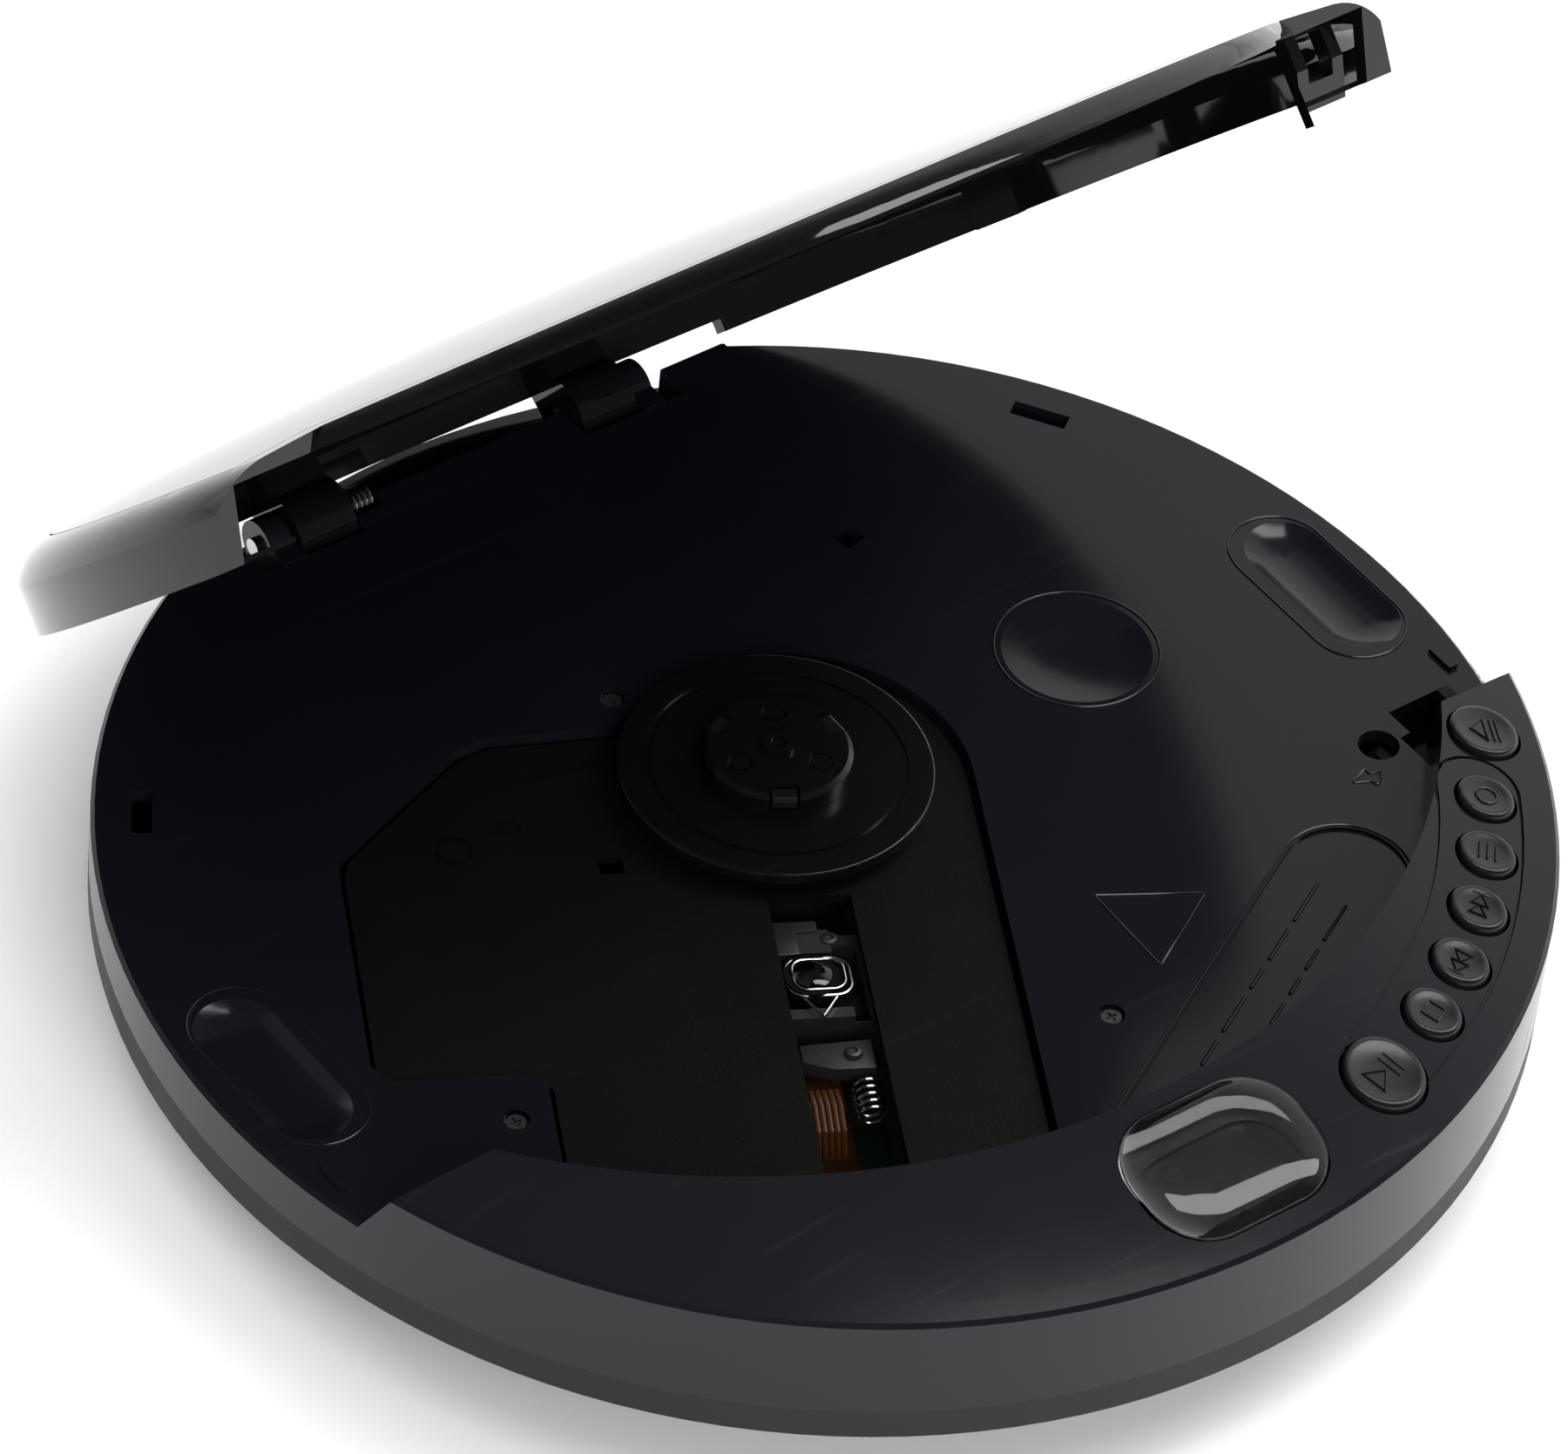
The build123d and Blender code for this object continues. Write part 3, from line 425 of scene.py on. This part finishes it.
    @staticmethod
    def circle(radius: float, z: float, count: int = 48) -> list[Vector]:
        """Circle round the Z axis.

        Args:
            radius: Its radius.
            z: Its height.
            count: Points in it.

        Returns:
            The circle's points.
        """
        turns = [2 * math.pi * k / count for k in range(count)]
        return [Vector((radius * math.cos(t), radius * math.sin(t), z)) for t in turns]

    @staticmethod
    def plate(mesh: bmesh.types.BMesh, outline: Sequence[Vector], low: float, high: float, edge: float) -> None:
        """Flat plate with a softened upper edge.

        Args:
            mesh: Mesh to add to.
            outline: Outline of the plate.
            low: Underside height.
            high: Top height.
            edge: Width of the softened edge.
        """
        middle = sum(outline, Vector()) / len(outline)
        loops = []
        for inset, z in ((0.0, low), (0.0, high - edge), (edge * 0.3, high - edge * 0.3), (edge, high)):
            loop = []
            for point in outline:
                away = point - middle
                shift = away.normalized() * min(inset, away.length * 0.5)
                loop.append(Vector((point.x - shift.x, point.y - shift.y, z)))
            loops.append(loop)
        Shape.loft(mesh, loops)


def panel_height(radius: float) -> float:
    """Height of the control panel's surface above the deck, at a distance from the case's middle."""
    return 9.8 - 0.195 * (radius - 52.0) - 0.00233 * (radius - 52.0) * (radius - 62.0)


def panel_slope(radius: float) -> float:
    """Rise of that surface for each unit of distance outwards."""
    return -0.195 - 0.00233 * (2.0 * radius - 114.0)


def mechanism(u: float, v: float, z: float) -> Vector:
    """Point given along and across the sled's way, in the row frame."""
    return Vector((u * math.cos(TURN) - v * math.sin(TURN), u * math.sin(TURN) + v * math.cos(TURN) + SPINDLE_Y, z))


@dataclass
class CarriedParts:
    """CAD nodes that are shown as they are, under better finishes."""

    turntable_coloured: tuple[str, ...] = ("hub_screws",)

    def dress(self) -> None:
        """Gives each CAD node its slot's finish."""
        slots = {row["node"]: row["material_slot"] for row in frame["record"]["subparts"]}
        for name, node in frame["nodes"].items():
            if node.hide_render:
                continue
            data = node.data
            data.materials.clear()
            slot = Slot.TURNTABLE if name in self.turntable_coloured else Slot(slots[name])
            data.materials.append(Paint.of(slot))
            LOG.info("dressed %s as %s", name, slots[name])


@dataclass
class Key:
    """One round key whose top leans with the panel."""

    node: str
    body: str
    glyph: Glyph
    ring: float
    angle: float
    size: float
    proud: float = 0.7
    mark: float = 0.13
    points: int = 64

    def build(self) -> None:
        """Builds the key and its raised mark."""
        mesh = bmesh.new()
        top = self.proud
        rings = ((self.size, -3.4), (self.size, top - 0.50), (self.size - 0.06, top - 0.24),
                 (self.size - 0.22, top - 0.07), (self.size - 0.45, top), (self.size - 0.75, top - 0.02),
                 (self.size - 1.05, top - 0.13), (self.size * 0.3, top - 0.17), (0.05, top - 0.17))
        Shape.loft(mesh, [[self._place(p) for p in Shape.circle(r, z, self.points)] for r, z in rings])
        Shape.finish(self.node + "_cap", mesh, self.body, Slot.KEY, [self.node])
        mark = bmesh.new()
        for path, closed in self._strokes():
            Shape.sweep(mark, [self._place(p) for p in path], self.mark, closed)
        Shape.finish(self.node + "_mark", mark, self.body, Slot.KEY)

    def _place(self, point: Vector) -> Vector:
        """Carries a point of the level key to its place on the leaning panel.

        Args:
            point: X along the arc, Y towards the case's middle, Z above the panel.

        Returns:
            The point in the row frame, in millimetres.
        """
        turn = math.radians(self.angle)
        outward = Vector((math.cos(turn), math.sin(turn), 0))
        along = Vector((-math.sin(turn), math.cos(turn), 0))
        place = outward * (self.ring - point.y) + along * point.x
        lean = panel_slope(self.ring) * -point.y
        place.z = DECK_Z + panel_height(self.ring) + lean + point.z
        return place

    def _strokes(self) -> list[tuple[list[Vector], bool]]:
        """Strokes of the key's mark.

        Returns:
            Paths with whether each is closed.
        """
        a = self.size
        z = self.proud - 0.12
        flat: Callable[[Sequence[tuple[float, float]]], list[Vector]] = (
            lambda pairs: [Vector((x * a, y * a, z)) for x, y in pairs])
        arrow = [(-0.34, -0.30), (0.10, 0.0), (-0.34, 0.30)]
        marks: dict[Glyph, list[tuple[list[tuple[float, float]], bool]]] = {
            Glyph.EJECT: [([(-0.42, -0.02), (0.42, -0.02), (0.0, 0.42)], True),
                          ([(-0.42, -0.22), (0.42, -0.22)], False), ([(-0.42, -0.38), (0.42, -0.38)], False)],
            Glyph.RING: [([(0.36 * math.cos(k * math.pi / 12), 0.36 * math.sin(k * math.pi / 12))
                           for k in range(24)], True)],
            Glyph.BARS: [([(-0.34, y), (0.34, y)], False) for y in (-0.28, 0.0, 0.28)],
            Glyph.SKIP_FORWARD: [(arrow, True), ([(x + 0.44, y) for x, y in arrow], True),
                                 ([(0.60, -0.30), (0.60, 0.30)], False)],
            Glyph.SKIP_BACK: [([(-x, y) for x, y in arrow], True), ([(-x - 0.44, y) for x, y in arrow], True),
                              ([(-0.60, -0.30), (-0.60, 0.30)], False)],
            Glyph.STOP: [([(-0.30, -0.30), (0.30, -0.30), (0.30, 0.30), (-0.30, 0.30)], True)],
            Glyph.PLAY: [([(-0.46, -0.32), (0.04, 0.0), (-0.46, 0.32)], True),
                         ([(0.20, -0.32), (0.20, 0.32)], False), ([(0.40, -0.32), (0.40, 0.32)], False)],
        }
        return [(flat(pairs), closed) for pairs, closed in marks[self.glyph]]


@dataclass
class ControlPanel:
    """Keys and display of the raised crescent."""

    small: float = 2.9
    ring: float = 63.7
    window: tuple[float, float, float] = (20.3, 14.3, 6.1)
    window_y: float = -61.2

    def build(self) -> None:
        """Builds the keys, the domed window and the bezel below it."""
        for key in self._keys():
            key.build()
        self._window()
        self._bezel()

    def _keys(self) -> list[Key]:
        """Lists the keys.

        Returns:
            One entry for each key.
        """
        rows = (("open_button", Glyph.EJECT, 65.0, -26.8, 3.5),
                ("mode_button", Glyph.RING, self.ring, -35.3, self.small),
                ("memory_button", Glyph.BARS, self.ring, -42.3, self.small),
                ("skip_forward_button", Glyph.SKIP_FORWARD, self.ring, -49.3, self.small),
                ("skip_back_button", Glyph.SKIP_BACK, self.ring, -56.2, self.small),
                ("stop_button", Glyph.STOP, self.ring, -63.1, self.small),
                ("play_button", Glyph.PLAY, self.ring, -71.9, 4.1))
        return [Key(node, node.replace("_button", "_key"), glyph, ring, angle, size)
                for node, glyph, ring, angle, size in rows]

    def _lift(self, point: Vector, height: float) -> Vector:
        """Puts a point of the level window on the panel's surface.

        Args:
            point: Point round the window's middle.
            height: Height above the panel.

        Returns:
            The point in the row frame, in millimetres.
        """
        y = point.y + self.window_y
        return Vector((point.x, y, DECK_Z + panel_height(math.hypot(point.x, y)) + height))

    def _window(self) -> None:
        """Builds the clear domed window."""
        width, depth, corner = self.window
        steps = ((0.0, -2.6), (0.0, 0.0), (0.12, 0.28), (0.4, 0.55), (0.9, 0.80), (1.8, 1.02),
                 (3.2, 1.18), (5.2, 1.26), (6.6, 1.28))
        mesh = bmesh.new()
        loops = []
        for inset, height in steps:
            outline = Shape.rounded(width - 2 * inset, depth - 2 * inset, max(0.3, corner - inset), 14)
            loops.append([self._lift(point, height) for point in outline])
        Shape.loft(mesh, loops)
        Shape.finish("display_dome", mesh, "case", Slot.WINDOW, ["display_window"])

    def _bezel(self) -> None:
        """Builds the black frame round the display glass."""
        outer = Shape.rounded(20.2, 14.2, 6.0)
        inner = Shape.rounded(15.6, 9.4, 4.0)
        mesh = bmesh.new()
        loops = []
        for outline, z in ((outer, 4.75), (inner, 4.75), (inner, 4.45), (outer, 4.45)):
            loops.append([Vector((p.x, p.y + self.window_y, DECK_Z + z)) for p in outline])
        Shape.loft(mesh, loops, ring=True)
        Shape.finish("display_bezel", mesh, "case", Slot.CHIP)


@dataclass
class DeckMarks:
    """Fine moulded lines that stand on the deck."""

    line: float = 0.14
    legend_centre: tuple[float, float] = (22.2, -41.2)
    legend_turn: float = 28.0
    legend_depth: float = 0.4
    panel_reach: float = 70.9
    bar_lengths: tuple[tuple[float, ...], ...] = ((2.4, 3.6, 5.2, 3.0, 4.6, 6.0), (3.4, 2.6, 6.4, 2.4, 3.0, 5.4))

    def build(self) -> None:
        """Builds the rims of the dimples and recess and the plain triangle."""
        level = DECK_Z + 0.01
        dimple = [point + Vector((36.6, 7.0, 0)) for point in Shape.circle(8.3, level, 72)]
        self._line("dimple_rim", dimple)
        for side, name in ((1, "right"), (-1, "left")):
            path = Shape.slot_path(22.6, 10.2, 90.0, (side * 63.0, 1.5, level), 20)
            self._line(f"finger_rim_{name}", path)
        triangle = [(16.6, -21.4), (26.0, -26.9), (16.2, -32.4)]
        self._line("triangle_mark", self._dense(triangle, level))
        arrow = [(48.0, -22.6), (50.4, -21.6), (50.2, -22.4), (51.6, -22.8), (50.0, -24.2), (49.8, -23.3)]
        self._line("arrow_mark", self._dense(arrow, level))
        self._legend_rim(level)
        self._legend_bars(DECK_Z - self.legend_depth + 0.05)

    def _shows(self, point: Vector) -> bool:
        """Tells whether a point lies on the open deck, clear of the raised panel."""
        return math.hypot(point.x, point.y - 19.0) < self.panel_reach

    def _legend_rim(self, level: float) -> None:
        """Lays the part of the recess's rim that the panel leaves bare.

        Args:
            level: Height of the line.
        """
        path = Shape.slot_path(52.6, 13.0, self.legend_turn, (*self.legend_centre, level), 24)
        start = next(k for k in range(len(path)) if self._shows(path[k]) and not self._shows(path[k - 1]))
        bare = [point for point in path[start:] + path[:start] if self._shows(point)]
        mesh = bmesh.new()
        Shape.sweep(mesh, bare, self.line, False)
        Shape.finish("legend_rim", mesh, "case", Slot.CASE)

    def _legend_bars(self, level: float) -> None:
        """Lays rows of plain raised dashes in the recess.

        Args:
            level: Height of the dashes.
        """
        spin = Matrix.Rotation(math.radians(self.legend_turn), 3, "Z")
        mesh = bmesh.new()
        for row, lengths in enumerate(self.bar_lengths):
            x = -15.0
            for length in lengths:
                ends = [spin @ Vector((x + k * length / 4, 1.9 - 3.6 * row, 0)) for k in range(5)]
                ends = [end + Vector((*self.legend_centre, level)) for end in ends]
                if all(self._shows(end) for end in ends):
                    Shape.sweep(mesh, ends, self.line * 1.5, False)
                x += length + 1.5
        Shape.finish("legend_bars", mesh, "case", Slot.CASE)

    def _line(self, name: str, path: Sequence[Vector]) -> None:
        """Lays one closed line on the deck.

        Args:
            name: Name of the piece.
            path: Points of the line.
        """
        mesh = bmesh.new()
        Shape.sweep(mesh, path, self.line, True)
        Shape.finish(name, mesh, "case", Slot.CASE)

    @staticmethod
    def _dense(corners: Sequence[tuple[float, float]], z: float) -> list[Vector]:
        """Adds points close to each corner so that it stays crisp.

        Args:
            corners: Corners in order.
            z: Height of the line.

        Returns:
            The denser outline.
        """
        points = []
        for k, corner in enumerate(corners):
            here = Vector((*corner, z))
            before = Vector((*corners[k - 1], z))
            after = Vector((*corners[(k + 1) % len(corners)], z))
            points.append(here + (before - here).normalized() * 0.25)
            points.append(here + (after - here).normalized() * 0.25)
        return points


@dataclass
class Pickup:
    """What shows of the pickup in the slot of the mechanism cover."""

    lens_v: float = -25.3
    spring_u: float = 3.3
    spring_v: float = -38.4

    def build(self) -> None:
        """Builds the brackets, screws, lens frame, spring and cable."""
        self._plate("pickup_bracket", ((-2.7, -17.2), (1.6, -17.2), (1.6, -18.6), (-0.6, -18.6), (-0.6, -21.6),
                                       (-2.7, -21.6)), 15.6, 16.6, Slot.CHASSIS, "sled")
        self._plate("pickup_clamp", ((-2.4, -33.4), (4.6, -33.0), (4.6, -36.8), (0.6, -36.8), (-2.4, -35.6)),
                    14.6, 16.2, Slot.SLED, "sled")
        self._screw("pickup_screw_upper", 2.6, -19.6, 16.4)
        self._screw("pickup_screw_lower", 2.6, -34.9, 16.5)
        self._lens_frame()
        self._spring()
        self._cable()

    def _plate(self, name: str, corners: Sequence[tuple[float, float]], low: float, high: float, slot: Slot,
               body: str) -> None:
        """Builds one small plate.

        Args:
            name: Name of the piece.
            corners: Corners along and across the sled's way.
            low: Underside height.
            high: Top height.
            slot: Its finish.
            body: CAD body that carries it.
        """
        mesh = bmesh.new()
        Shape.plate(mesh, [mechanism(u, v, 0) for u, v in corners], low, high, 0.15)
        Shape.finish(name, mesh, body, slot)

    def _screw(self, name: str, u: float, v: float, z: float) -> None:
        """Builds a small domed screw head with a hollow drive.

        Args:
            name: Name of the piece.
            u: Place across the sled's way.
            v: Place along it.
            z: Height of the head's rim.
        """
        mesh = bmesh.new()
        rings = ((0.9, z - 1.0), (0.9, z), (0.75, z + 0.22), (0.42, z + 0.30), (0.36, z + 0.05), (0.05, z + 0.02))
        centre = mechanism(u, v, 0)
        Shape.loft(mesh, [[p + centre for p in Shape.circle(r, h, 28)] for r, h in rings])
        Shape.finish(name, mesh, "sled", Slot.SCREW)

    def _lens_frame(self) -> None:
        """Builds the clear-edged frame round the lens."""
        mesh = bmesh.new()
        for size, z, radius in ((6.2, 17.05, 0.20), (5.0, 17.45, 0.16)):
            outline = Shape.rounded(size, size * 0.80, size * 0.26, 8)
            Shape.sweep(mesh, [mechanism(p.x + 0.6, p.y + self.lens_v, z) for p in outline], radius, True)
        tip = [mechanism(u, v, 17.0) for u, v in ((-1.2, -28.0), (0.4, -30.4), (2.0, -28.0))]
        Shape.sweep(mesh, tip, 0.2, False)
        Shape.finish("lens_frame", mesh, "lens", Slot.STEEL)

    def _spring(self) -> None:
        """Builds the coil spring beside the cable."""
        turns, steps = 4.5, 28
        path = []
        for k in range(int(turns * steps) + 1):
            angle = 2 * math.pi * k / steps
            v = self.spring_v - 0.92 * k / steps
            path.append(mechanism(self.spring_u + 1.35 * math.cos(angle), v, 15.2 + 1.35 * math.sin(angle)))
        mesh = bmesh.new()
        Shape.sweep(mesh, path, 0.21, False)
        Shape.finish("sled_coil", mesh, "sled", Slot.STEEL, ["sled_spring"])

    def _cable(self) -> None:
        """Builds the folded end of the flat cable, ribbed by its tracks."""
        fold = ((-37.2, 13.2), (-38.2, 14.6), (-40.4, 15.0), (-43.2, 14.4), (-44.6, 12.2))
        mesh = bmesh.new()
        for k in range(6):
            u = -2.5 + 0.62 * k
            path = [mechanism(u, v, z) for v, z in fold]
            Shape.sweep(mesh, path, 0.30, False)
        Shape.finish("flex_fold", mesh, "sled", Slot.FLEX)


@dataclass
class Studio:
    """Floor, lights and camera."""

    azimuth: float = -40.9
    elevation: float = 43.35
    roll: float = 6.30
    distance: float = 0.913
    lens: float = 214.2
    aim: Point = (0.00443, 0.01267, 0.02014)
    floor_size: float = 4.0

    def build(self) -> None:
        """Builds the floor, the sky, the lamps and the camera."""
        self._floor()
        self._sky()
        self._lamp("ceiling", (0.0, 0.0, 2.4), (0.0, 0.0, 0.0), (3.0, 3.0), 58.0, False)
        self._lamp("fill", (-0.9, -2.0, 1.1), (0.0, 0.0, 0.02), (1.6, 1.6), 65.0, False)
        self._lamp("softbox", (0.46, -0.16, 0.80), (0.0, 0.0, 0.06), (0.85, 0.20), 3.4, True)
        self._camera()
        bpy.context.scene.view_settings.view_transform = "Standard"

    def _floor(self) -> None:
        """Lays a plain pale floor."""
        half = self.floor_size / 2
        mesh = bmesh.new()
        corners = ((-half, -half), (half, -half), (half, half), (-half, half))
        mesh.faces.new([mesh.verts.new((x, y, 0.0)) for x, y in corners])
        data = bpy.data.meshes.new("floor")
        mesh.to_mesh(data)
        mesh.free()
        data.materials.append(Finish((0.84, 0.84, 0.84), (0.86, 0.86, 0.86), (0.8, 0.9), 0.0, wear=0.0).build("floor"))
        floor = bpy.data.objects.new("floor", data)
        bpy.context.scene.collection.objects.link(floor)

    @staticmethod
    def _ramp(tree: bpy.types.NodeTree, value: bpy.types.NodeSocket, span: tuple[float, float],
              out: tuple[float, float]) -> bpy.types.NodeSocket:
        """Smoothly maps one range to another.

        Args:
            tree: Node tree to add to.
            value: Socket to map.
            span: Range it comes from.
            out: Range it goes to.

        Returns:
            The mapped socket.
        """
        ramp = tree.nodes.new("ShaderNodeMapRange")
        ramp.interpolation_type = "SMOOTHSTEP"
        ramp.inputs["From Min"].default_value, ramp.inputs["From Max"].default_value = span
        ramp.inputs["To Min"].default_value, ramp.inputs["To Max"].default_value = out
        tree.links.new(value, ramp.inputs["Value"])
        return ramp.outputs["Result"]

    def _sky(self) -> None:
        """Makes a sky that is bright low down behind the object and dark overhead and in front."""
        world = bpy.data.worlds.new("studio")
        bpy.context.scene.world = world
        world.use_nodes = True
        tree = world.node_tree
        tree.nodes["Background"].inputs["Color"].default_value = (1.0, 1.0, 1.0, 1.0)
        way = tree.nodes.new("ShaderNodeTexCoord").outputs["Generated"]
        dot = tree.nodes.new("ShaderNodeVectorMath")
        dot.operation = "DOT_PRODUCT"
        dot.inputs[1].default_value = (0.655, 0.756, 0.0)
        tree.links.new(way, dot.inputs[0])
        behind = self._ramp(tree, dot.outputs["Value"], (-0.15, 0.62), (0.10, 1.0))
        split = tree.nodes.new("ShaderNodeSeparateXYZ")
        tree.links.new(way, split.inputs[0])
        low = self._ramp(tree, split.outputs["Z"], (0.60, 0.88), (0.95, 0.20))
        both = tree.nodes.new("ShaderNodeMath")
        both.operation = "MULTIPLY"
        tree.links.new(behind, both.inputs[0])
        tree.links.new(low, both.inputs[1])
        tree.links.new(both.outputs["Value"], tree.nodes["Background"].inputs["Strength"])

    def _lamp(self, name: str, place: Point, aim: Point, size: tuple[float, float], power: float,
              mirrored: bool) -> None:
        """Adds an oblong area lamp.

        Args:
            name: Its name.
            place: Where it hangs.
            aim: Point that it faces.
            size: Side lengths in metres.
            power: Power in watts.
            mirrored: Whether glossy surfaces show it.
        """
        light = bpy.data.lights.new(name, "AREA")
        light.shape = "RECTANGLE"
        light.size, light.size_y = size
        light.energy = power
        lamp = bpy.data.objects.new(name, light)
        bpy.context.scene.collection.objects.link(lamp)
        away = Vector(place) - Vector(aim)
        lamp.matrix_world = Matrix.Translation(place) @ away.to_track_quat("Z", "X").to_matrix().to_4x4()
        lamp.visible_glossy = mirrored
        lamp.visible_transmission = mirrored
        lamp.visible_camera = False

    def _camera(self) -> None:
        """Sets the camera, turned a little about its line of sight."""
        a, e, r = (math.radians(x) for x in (self.azimuth, self.elevation, self.roll))
        back = Vector((math.sin(a) * math.cos(e), -math.cos(a) * math.cos(e), math.sin(e)))
        right = Vector((0, 0, 1)).cross(back).normalized()
        up = back.cross(right)
        across = math.cos(r) * right + math.sin(r) * up
        lift = -math.sin(r) * right + math.cos(r) * up
        pose = Matrix((across, lift, back)).transposed().to_4x4()
        pose.translation = Vector(self.aim) + back * self.distance
        data = bpy.data.cameras.new("camera")
        data.lens = self.lens
        data.sensor_width = 36.0
        data.clip_start = 0.01
        camera = bpy.data.objects.new("camera", data)
        camera.matrix_world = pose
        bpy.context.scene.collection.objects.link(camera)
        bpy.context.scene.camera = camera


def main() -> None:
    """Builds every sub-assembly in order."""
    logging.basicConfig(level=logging.INFO, format="%(message)s")
    ControlPanel().build()
    DeckMarks().build()
    Pickup().build()
    CarriedParts().dress()
    Studio().build()


if __name__ == "__main__":
    main()
